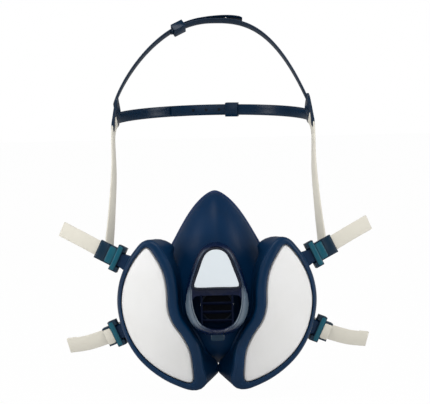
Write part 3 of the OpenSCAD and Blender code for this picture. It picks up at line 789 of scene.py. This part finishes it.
egg, panel = whole_outline(egg_half), whole_outline(panel_half)


def cover_y(z):
    lean = max(0.0, z - LABEL_BOTTOM_Z + 2) * math.tan(math.radians(LABEL_TILT))
    return lean - COVER_FRONT


def cover_ring(outline, shrink, share, sink=0.0):
    ring = []
    for p in outline:
        x, z = p[0] * shrink, mix(EGG_CENTRE_Z, p[1], shrink)
        ring.append((x, mix(dome_y(x, z) - GAP, cover_y(z) + sink, share), z))
    return ring


slope = [[a.lerp(b, t) for a, b in zip(egg, panel)] for t in (0.12, 0.5, 0.88)]
front = [cover_ring(panel, s, 1, 1.3) for s in (0.1, 0.45, 0.8, 0.965)]
front += [cover_ring(panel, 0.985, 1, 0.2), cover_ring(panel, 1, 1, -0.1)]
front += [cover_ring(slope[k], 1, share) for k, share in ((2, 0.985), (1, 0.88), (0, 0.72))]
front += [cover_ring(egg, 1, s) for s in (0.62, 0.4, 0.15, 0)]
hollow = [cover_ring(egg, 1 - COVER_WALL / 22, s) for s in (0, 0.3, 0.55)]
hollow += [cover_ring(egg, s, 1, COVER_WALL + 1.5) for s in (0.72, 0.45, 0.1)]
cover = rounded(loft("valve_cover", front + hollow))
print("cover", len(cover.data.polygons), "faces")

# %% Grille opening
grille_half = [
    (0, 6.9), (9, 6.9), (15.8, 6.5), (18.2, 3.6), (18.0, -1.5), (15.8, -9.2), (12.4, -14.6),
    (6.8, -18.2), (0, -19.2),
]
opening = whole_outline(grille_half)
cut_depths = (-COVER_FRONT - 4, -COVER_FRONT + 9)
cut(cover, loft("grille_cutter", [[(p[0], y, p[1]) for p in opening] for y in cut_depths]))
hand_over(cover, cover_navy, "mask", ["exhale_valve_cover"], crease=38)

# %% [markdown]
# The polished slope is picked out by where its faces lie and how far they face forward, and gets the
# painted highlight, a paler colour standing for the side lamps' reflection, as a second material.

# %% The painted highlight on the slope
SLOPE_BACK, SLOPE_SIDE, FACING_LOW, FACING_HIGH = -58, 5, 0.25, 0.93
cover.data.materials.append(cover_painted_highlight)
for face in cover.data.polygons:
    middle, forward = face.center / MM, -face.normal.y
    if middle.y < SLOPE_BACK and abs(middle.x) > SLOPE_SIDE and FACING_LOW < forward < FACING_HIGH:
        face.material_index = 1
print(sum(face.material_index for face in cover.data.polygons), "pale faces")

# %% [markdown]
# The louvres are thin slats with rounded noses that lean forward to shed water. Two rails stand in
# front of their ends and run from the opening's upper edge to its lower one.

# %% Louvres and rails
LOUVRE_Z, LOUVRE_LEAN, LOUVRE_DEEP = (0.2, -6.4, -13), 28, 5.2
RAIL_X, RAIL_TOP, RAIL_BOTTOM, RAIL_DEEP = 11.6, 7.4, -15.8, 2.6


def slat(z):
    c, s = cos_deg(LOUVRE_LEAN), sin_deg(LOUVRE_LEAN)
    y = LOUVRE_DEEP - COVER_FRONT
    section = [(y + a * c + b * s, z - a * s + b * c) for a, b in flat_section(5.2, 1.1, 0.5, 2)]
    return loft("slat", [[(x, *p) for p in section] for x in (-RAIL_X - 0.3, RAIL_X + 0.3)])


def rail(x):
    section = flat_section(1.5, 3.2, 0.6, 2)
    ends = (RAIL_TOP, RAIL_BOTTOM)
    return loft("rail", [[(x + a, -COVER_FRONT + RAIL_DEEP + b, z) for a, b in section] for z in ends])


slats = [slat(z) for z in LOUVRE_Z]
rails = [rail(x) for x in (-RAIL_X, RAIL_X)]
grille = join("valve_grille", *slats, *rails)
hand_over(grille, grille_black, "mask")

# %% [markdown]
# The label is a bare plate with rounded corners, set in a bezel whose near-black colour partly paints
# the shade of the recess around the label. It stays blank. A small latch tab closes the cover at its
# lower end.

# %% Label, bezel and latch tab
label_half = [
    (0, 0), (14.6, 0), (16.6, 1.6), (16.0, 4.4), (12.8, 13.4), (9.5, 22.2), (6.5, 26.2), (2.6, 28.2),
]
label_line = whole_outline(label_half)
label_out = outward_normals(label_line)
label_foot = Vector((0, cover_y(LABEL_BOTTOM_Z) - GAP / 2, LABEL_BOTTOM_Z))
label_up = Vector((0, sin_deg(LABEL_TILT), cos_deg(LABEL_TILT)))
label_front = Vector((0, -cos_deg(LABEL_TILT), sin_deg(LABEL_TILT)))


def label_ring(outset, raised):
    spots = [p + n * outset for p, n in zip(label_line, label_out)]
    return [label_foot + Vector((p[0], 0, 0)) + label_up * p[1] + label_front * raised for p in spots]


label_section = [(0, 0), (0, 0.6), (-0.15, 0.76), (-0.4, 0.8)]
label = loft("label_blank_plate", [label_ring(*s) for s in label_section])
hand_over(label, label_blank, "mask", ["label_plate"], crease=30)
# The bezel's near-black colour partly paints the shade around the label.
bezel_section = [(0.15, -1.6), (0.15, 0.5), (0.5, 0.95), (1.3, 0.95), (1.8, 0.5), (1.9, -1.6)]
bezel = rounded(loft("label_bezel", [label_ring(*s) for s in bezel_section], closed=True))
hand_over(bezel, bezel_painted_shade, "mask")
TAB_Z = -25.6
tab_section = flat_section(10.4, 5.0, 1.2)
tab_steps = ((-55, 0.9), (-64.5, 1.0), (-66, 0.98), (-66.6, 0.86))
tab = loft("latch_tab", [[(a * k, y, TAB_Z + b * k) for a, b in tab_section] for y, k in tab_steps])
hand_over(tab, buckle_edge, "mask")

# %% [markdown]
# Three light rubber flaps work the mask: air comes in past two and leaves past the third. Each is a
# thin disc, thicker at its middle and with a fine bead at its edge. Their plastic seats keep the CAD's
# shape, which has the real ring and spokes.

# %% Valve flaps and seats
FLAP_T = 0.8


def flap(name, centre, axis, radius, body, nodes):
    axis = Vector(axis).normalized()
    side = axis.orthogonal().normalized()
    across = axis.cross(side)
    profile = [
        (0.3, 0.08), (radius - 1.6, 0.12), (radius - 0.9, 0.04), (radius - 0.3, 0), (radius, 0.25),
        (radius, 0.55), (radius - 0.3, 0.8), (radius - 0.9, 0.76), (radius - 1.6, 0.6), (3.4, 0.62),
        (2.4, 0.95), (1.2, 1.1), (0.3, 1.12),
    ]
    rings = []
    for r, h in profile:
        spokes = [side * (r * cos_deg(10 * k)) + across * (r * sin_deg(10 * k)) for k in range(36)]
        rings.append([centre + axis * (h * FLAP_T) + s for s in spokes])
    disc = rounded(loft(name, rings))
    return hand_over(disc, flap_rubber, body, nodes)


EXHALE_SEAT_FRONT, INHALE_IN = -DOME_DEPTH - 4, 3.6
exhale_centre = Vector((0, EXHALE_SEAT_FRONT - GAP, EXHALE_Z))
flap("exhale_rubber_flap", exhale_centre, (0, -1, 0), EXHALE_R - 1, "exhale_flap_body", ["exhale_flap"])
for side_name, side in (("left", -1), ("right", 1)):
    flip = Vector((side, 1, 1))
    centre = (valve_place - valve_axis * (INHALE_IN + GAP)) * flip
    flap(
        side_name + "_inhale_rubber_flap", centre, -(valve_axis * flip), INHALE_R - 0.8,
        side_name + "_inhale_flap_body", [side_name + "_inhale_flap"],
    )
for seat_name in ("exhale_valve_seat", "left_inhale_valve_seat", "right_inhale_valve_seat"):
    dress(seat_name, seat_plastic)

# %% [markdown]
# ## Buckles and clips
# The buckles are the CAD's own shapes with the sharp edges taken off. A copy of the CAD mesh is
# merged, its flat faces are dissolved back into whole ones, and every edge gets a small bevel. Thin
# plates close the fronts, and stop short of the arms so that a buckle can tilt. Each is given by its
# start and end along the buckle, half its height, and how far forward it lies.

# %% Buckles and clips
def softened(node_name, name, width=0.35):
    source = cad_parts[node_name]
    ob = bpy.data.objects.new(name, source.data.copy())
    ob.data.name = name
    scene.collection.objects.link(ob)
    pick(ob)
    bpy.ops.object.mode_set(mode="EDIT")
    bpy.ops.mesh.select_all(action="SELECT")
    bpy.ops.mesh.remove_doubles(threshold=0.00001)
    bpy.ops.mesh.dissolve_limited(angle_limit=math.radians(3))
    bpy.ops.object.mode_set(mode="OBJECT")
    return bevelled(ob, width)


STRAP_W, STRAP_T, FRAME_T, HOOK_HALF_Y = 12, 1.2, 2.6, 2.5
HOOK_FACE, FRAME_FACE = HOOK_HALF_Y - 0.2, FRAME_T / 2
hook_plate = (-1.0, 2.9, 9.8, HOOK_FACE, buckle_teal, "buckle")
upper_plates = (
    (3.6, 9.4, 6.6, FRAME_FACE, buckle_teal, "buckle"), hook_plate,
    (9.8, 17.4, 6.8, FRAME_FACE, buckle_edge, "buckle"),
)
lower_plates = (hook_plate, (3.3, 9.6, 6.1, HOOK_FACE, elastic_beige, "elastic"))


def front_plate(name, spot, start, end, half, face):
    """A thin plate with rounded edges that closes a buckle's front."""
    rings = []
    for shrink, out in ((0.3, 0.0), (0.0, -0.25), (0.0, -0.6), (0.35, -0.85)):
        section = flat_section(end - start - 2 * shrink, 2 * (half - shrink), 1.2)
        rings.append([spot(((start + end) / 2 + a, out - face, b)) for a, b in section])
    return loft(name, rings)


for side_name in ("left", "right"):
    for kind, spot, plates in (
        ("_upper_buckle", upper_spot, upper_plates), ("_lower_clip", lower_spot, lower_plates),
    ):
        whole = side_name + kind
        body = whole + "_body"
        hand_over(softened(whole, whole + "_soft"), buckle_edge, body, [whole])
        for k, (*shape, finish, slot_name) in enumerate(plates):
            plate = front_plate("%s_face_%d" % (whole, k), spot, *shape)
            if side_name == "left":
                mirror(plate.data)
            hand_over(plate, finish, body)

# %% [markdown]
# ## Elastic straps
# Webbing is modelled directly: a thin rounded section is carried along the strap's path, and its UV
# map takes the real width and length. Each upper strap comes up through its buckle and folds back, so
# the free tail rides on the buckle, and the long run curves from the mask to the cradle, riding on
# neither.

# %% Strap helpers
def strap(name, path, across):
    section = flat_section(STRAP_W, STRAP_T, 0.45, 2)
    rings, uv, length = [], [], 0.0
    last = len(path) - 1
    for i, here in enumerate(path):
        along = (path[min(i + 1, last)] - path[max(i - 1, 0)]).normalized()
        side = (across[i] - along * across[i].dot(along)).normalized()
        up = along.cross(side)
        if i:
            length += (here - path[i - 1]).length
        rings.append([here + side * a + up * b for a, b in section])
        uv.append([((a + b) * MM, length * MM) for a, b in section])
    ob = loft(name, rings, uv=uv)
    print(name, "is", round(length), "mm long")
    return ob


HEM = 8


def hem(path, across):
    """The end of a tail is folded back once: a second layer behind its last few millimetres."""
    folded = [p for p in path if (p - path[-1]).length < HEM]
    along = (folded[-1] - folded[0]).normalized()
    behind = along.cross(across).normalized() * (STRAP_T + 0.05)
    behind = behind if behind.y > 0 else -behind
    return strap("hem", [p + behind for p in folded], [across] * len(folded))


def free_tail(name, spot, across, points):
    """A tail runs out of the fold behind its buckle and ends in a hem."""
    path = open_curve([spot(p) for p in points], 8)
    run = strap(name, path, [across] * len(path))
    return join(name, run, hem(path, across))


def both_straps(name, ob, ride_on, nodes=()):
    """Hands over a strap and its twin; ride_on is one body, or two bodies and the ends of a blend,
    which are not used: such a strap is given no body.
    """
    twin = other_side(ob, "left_" + name)
    for side_name, piece, side in (("right", ob, 1), ("left", twin, -1)):
        piece.name = piece.data.name = side_name + "_" + name
        body = None if isinstance(ride_on, tuple) else ride_on.format(side_name)
        hand_over(piece, elastic_beige, body, [side_name + "_" + n for n in nodes], 50)
        if body is None:
            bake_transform(piece)


# %% Upper straps
UPPER_TAIL, LOWER_TAIL, CRADLE_HALF_W, PLATE_Y, CRADLE_Z = 36, 34, 86, 88, 131
tail_off = FRAME_T / 2 + GAP + 0.1 + STRAP_T / 2
upper_across = turned((0, 0, 1), UPPER_TURN, 0)
step = STRAP_T + GAP
UPPER_END = 19
upper_points = [
    (9.5, tail_off + step, 0), (6.4, tail_off + step, 0), (5.0, tail_off + step * 0.5, 0),
    (6.4, tail_off, 0), (UPPER_END, tail_off, 0), (UPPER_END + UPPER_TAIL * 0.5, tail_off + 3, 0),
    (UPPER_END + UPPER_TAIL, tail_off + 10, -1),
]
tail = free_tail("right_upper_tail", upper_spot, upper_across, upper_points)
both_straps("upper_tail", tail, "{}_upper_buckle_body")
RUN_STEPS, SPLIT, PLATE_END = 12, 20, -16
run_foot = upper_spot(upper_points[0])
run_top = Vector((CRADLE_HALF_W - 2.6, PLATE_Y - 0.6, CRADLE_Z - 9 - 1.6))
run_points = [
    run_foot, run_foot + Vector((0, 9, 6)), run_foot.lerp(run_top, 0.35) + Vector((-1, 0, -3)),
    run_foot.lerp(run_top, 0.7) + Vector((-1.5, 0, -3)), run_top, run_top + Vector((-2.4, 8.5, 9.5)),
]
run_path = open_curve(run_points, RUN_STEPS)
open_way, plate_way = Vector((0.5, -0.5, 0.66)), Vector((0.04, -0.66, 0.75))
run_across = []
for i in range(len(run_path)):
    share = i / (len(run_path) - 1)
    run_across.append(upper_across.lerp(open_way.lerp(plate_way, share), min(1, i / RUN_STEPS)))
foot_run = strap("right_upper_foot", run_path[: SPLIT + 1], run_across[: SPLIT + 1])
long_run = strap("right_upper_run", run_path[SPLIT:], run_across[SPLIT:])
both_straps("upper_foot", foot_run, ("{}_upper_buckle_body", "mask", run_foot, run_path[SPLIT - 2]))
cradle_end = ("mask", "cradle", run_path[SPLIT + 2], run_path[PLATE_END])
both_straps("upper_run", long_run, cradle_end, ["upper_strap"])

# %% Neck straps
NECK_Y, NECK_Z, CLASP_HALF = 92, -36, 9
clip_off = HOOK_HALF_Y + GAP + STRAP_T / 2
lower_across = turned((0, 0, 1), LOWER_TURN, 0)
LOWER_END = 12
lower_points = [
    (6.5, clip_off + step, 0), (5.2, clip_off + step, 0), (4.2, clip_off + step * 0.5, 0),
    (5.4, clip_off, 0), (LOWER_END, clip_off, 0), (LOWER_END + LOWER_TAIL * 0.5, clip_off + 2, 1),
    (LOWER_END + LOWER_TAIL, clip_off + 6, 4),
]
tail = free_tail("right_lower_tail", lower_spot, lower_across, lower_points)
both_straps("lower_tail", tail, "{}_lower_clip_body")
NECK_STEPS = 9
neck_foot = lower_spot(lower_points[0])
neck_points = [
    neck_foot, neck_foot + Vector((-2, 12, 0)), (70, 32, -33), (57, 56, -35), (38, 78, NECK_Z),
    (20, 89, NECK_Z), (CLASP_HALF + GAP, NECK_Y, NECK_Z),
]
neck_path = open_curve(neck_points, NECK_STEPS)
neck_across = [lower_across.lerp(Vector((0, 0, 1)), min(1, i / 15)) for i in range(len(neck_path))]
neck_run = strap("right_neck_run", neck_path, neck_across)
clip_end = ("{}_lower_clip_body", "mask", neck_foot, neck_path[2 * NECK_STEPS])
both_straps("neck_run", neck_run, clip_end, ["neck_strap"])

# %% [markdown]
# ## Head cradle
# The cradle is two mouldings. Each has a band for the back of the head, a band for the crown and a
# corner plate with slots. Their free ends overlap and slide through two sleeves, which set its size.

# %% Cradle bands
BAND_W, BAND_T, BAND_GAP, REAR_REACH, CROWN_RISE, CROWN_BACK = 9.4, 1.4, 0.4, 86, 72, 48
BAND_R, BAND_CENTRE_Y, REAR_RISE = CRADLE_HALF_W - 4, PLATE_Y + 6, 3
REAR_DEPTH, CROWN_FOOT_Z = REAR_REACH - 6, CRADLE_Z + 10
CROWN_SHAPE = ((2, 1.3), (2.8, 1))
crown_across = Vector((0, CROWN_RISE, -CROWN_BACK)).normalized()
crown_lift = Vector((0, CROWN_BACK, CROWN_RISE)).normalized()
ends_rear, ends_crown, TAIL_LIFT = (24, -37), (27, -34), 0.13
overlap = (BAND_T + BAND_GAP) / 2


def turn_to(x):
    return math.degrees(math.acos(x / BAND_R))


def rear_point(a, off):
    y = BAND_CENTRE_Y + (REAR_DEPTH + off) * sin_deg(a)
    return Vector(((BAND_R + off) * cos_deg(a), y, CRADLE_Z + REAR_RISE * sin_deg(a)))


def crown_point(a, off):
    c = cos_deg(a)
    side, top = CROWN_SHAPE[0 if c < 0 else 1]
    h = max(0.0, 1 - abs(c) ** side) ** (1 / top)
    x, y = (BAND_R + off * (1 - h)) * c, PLATE_Y + 4 + CROWN_BACK * h
    return Vector((x, y, CROWN_FOOT_Z + CROWN_RISE * h)) + crown_lift * (off * h)


def cradle_band(name, path, across, width):
    """A moulded band: flat, with rounded edges and a rounded free end."""
    section = flat_section(1, 1, 0.3, 2)
    rings = []
    last = len(path) - 1
    for i, here in enumerate(path):
        along = (path[min(i + 1, last)] - path[max(i - 1, 0)]).normalized()
        side = (across - along * across.dot(along)).normalized()
        up = along.cross(side)
        w = width * (1.0 if i < last else 0.72)
        rings.append([here + side * (a * w) + up * (b * BAND_T) for a, b in section])
    return loft(name, rings)


def cradle_half(name, rear_end, crown_end, off, lift, right):
    foot = 5 if right else 175
    rear = spread(foot, turn_to(rear_end), 60)
    crown = spread(foot + (1 if right else -1), turn_to(crown_end), 60)
    past = [0 if right else max(0, 94 - a) for a in crown]
    rear_path = [rear_point(a, off) for a in rear]
    rear_band = cradle_band(name + "_rear", rear_path, Vector((0, 0, 1)), BAND_W)
    crown_path = [crown_point(a, off + p * lift) for a, p in zip(crown, past)]
    return rear_band, cradle_band(name + "_crown", crown_path, crown_across, BAND_W * 0.8)


bands = {
    "left": cradle_half("left_cradle", ends_rear[0], ends_crown[0], overlap, TAIL_LIFT, False),
    "right": cradle_half("right_cradle", ends_rear[1], ends_crown[1], -overlap, 0, True),
}
HOLE_R = 1.3
for a in (turn_to(5.5), turn_to(-6), turn_to(-17.5)):
    drill(bands["right"][0], rear_point(a, -overlap), (cos_deg(a), sin_deg(a), 0), HOLE_R, 4, 20)
for x in (-9, 2, 13):
    drill(bands["left"][1], crown_point(turn_to(x), overlap), crown_lift, HOLE_R, 12, 20)

# %% [markdown]
# A corner plate is a rounded triangle with two slots for the strap. Its outline is drawn in side view,
# given its thickness, and then the slots are cut.

# %% Corner plates
plate_line = [
    (-1.8, -10.2), (11, -8.0), (24.2, -5.6), (25.4, 0), (24.4, 5.6), (16.6, 11.4), (9.4, 15.6),
    (3.6, 19.2), (0.8, 17.8), (-0.6, 12), (-1.8, 2),
]
plate_edge = closed_curve(plate_line, 3)
PLATE_T, SLOT_W = 2.0, 2.6


def plate_x(y, z):
    return CRADLE_HALF_W - 2 - 0.14 * max(0, y) - 0.17 * max(0, z + 4)


plate_rings = []
plate_middle = Vector((10, 3))
for inset, x_off in ((0.5, -1.0), (0.05, -0.75), (0, 0.6), (0.5, 1.0)):
    ring = []
    for p in plate_edge:
        q = p + (plate_middle - p).normalized() * inset
        ring.append((plate_x(q[0], q[1]) + x_off * PLATE_T / 2, PLATE_Y + q[0], CRADLE_Z + q[1]))
    plate_rings.append(ring)
plate = loft("right_corner_plate", plate_rings)
for k in (0, 1):
    deselect()
    bpy.ops.mesh.primitive_cube_add(size=1)
    slot_cutter = bpy.context.object
    slot_h = STRAP_W - 1 - 2 * k
    size = Matrix.Diagonal((20 * MM, SLOT_W * MM, slot_h * MM, 1))
    y, z = PLATE_Y + 3.6 + SLOT_W / 2 + 6 * k, CRADLE_Z - 3.5 + k + slot_h / 2
    middle = Vector((CRADLE_HALF_W - 2, y, z))
    slot_cutter.data.transform(Matrix.Translation(middle * MM) @ size)
    cut(plate, slot_cutter)
plates = {"right": plate, "left": other_side(plate, "left_corner_plate")}
for side_name in ("left", "right"):
    half = join(side_name + "_cradle", *bands[side_name], plates[side_name])
    hand_over(half, cradle_navy, "cradle", [side_name + "_cradle_half"], crease=30)

# %% [markdown]
# The sleeves and the neck clasp are small mouldings whose CAD shape is right. They get the same
# softened edges as the buckles.

# %% Sleeves and clasp
small_parts = [
    ("rear_slider", "rear_sleeve", cradle_navy, "rear_slider_body", "cradle"),
    ("crown_slider", "crown_sleeve", cradle_navy, "crown_slider_body", "cradle"),
    ("neck_clasp_hook", "clasp_hook", buckle_teal, "neck_hook_body", "buckle"),
    ("neck_clasp_loop", "clasp_loop", buckle_teal, "mask", "buckle"),
]
for node_name, name, finish, body, slot_name in small_parts:
    hand_over(softened(node_name, name, 0.3), finish, body, [node_name])

# %% [markdown]
# ## Stage and light
# The mask stands in a plain white studio. The floor and the world are white to the camera, while the
# light on the object stays moderate: a broad key above, two tall panels at the sides whose reflections
# brighten the crescents on the valve cover, which are also painted there as a highlight colour, and a
# soft front fill.

# %% Floor and world
FLOOR_Z, FLOOR_SEEN = -0.0775, 0.985
deselect()
bpy.ops.mesh.primitive_plane_add(size=6, location=(0, 0, FLOOR_Z))
floor = bpy.context.object
floor.name = "floor"
mat, tree, shader = new_finish("floor_white", (0.82, 0.82, 0.82), 0.9)
light_path = node(tree, "LightPath")
glow = node(tree, "Emission", {"Color": (1, 1, 1, 1), "Strength": 1.0})
eye = light_path.outputs["Is Camera Ray"]
seen = node(tree, "Math", {0: eye, 1: FLOOR_SEEN}, operation="MULTIPLY").outputs["Value"]
both = {"Fac": seen, 1: shader.outputs["BSDF"], 2: glow.outputs["Emission"]}
blend_node = node(tree, "MixShader", both)
plug(tree, tree.nodes["Material Output"], {"Surface": blend_node.outputs["Shader"]})
floor.data.materials.append(mat)
world = bpy.data.worlds.new("studio")
scene.world = world
world.use_nodes = True
tree = world.node_tree
eye = node(tree, "LightPath").outputs["Is Camera Ray"]
to_eye = node(tree, "Math", {0: eye, 1: 0.7, 2: 0.3}, operation="MULTIPLY_ADD")
backdrop = {"Color": (1, 1, 1, 1), "Strength": to_eye.outputs["Value"]}
plug(tree, tree.nodes["Background"], backdrop)

# %% Lamps
def panel_light(name, place, target, width, height, power):
    lamp = bpy.data.lights.new(name, "AREA")
    lamp.shape, lamp.size, lamp.size_y, lamp.energy = "RECTANGLE", width, height, power
    ob = bpy.data.objects.new(name, lamp)
    scene.collection.objects.link(ob)
    ob.location = place
    ob.rotation_euler = (Vector(target) - Vector(place)).to_track_quat("-Z", "Y").to_euler()
    return ob


panel_light("key_above", (-0.15, -0.45, 1.0), (0, 0, 0.05), 0.8, 0.5, 5.8)
panel_light("left_panel", (-0.9, -0.2, 0.2), (0, -0.03, 0.0), 0.3, 0.9, 3.7)
panel_light("right_panel", (0.9, -0.2, 0.2), (0, -0.03, 0.0), 0.3, 0.9, 3.7)
panel_light("front_fill", (0.1, -1.6, 0.5), (0, 0, 0.05), 1.2, 0.9, 3.0)
scene.view_settings.view_transform = "Standard"
print("lamps and floor set")
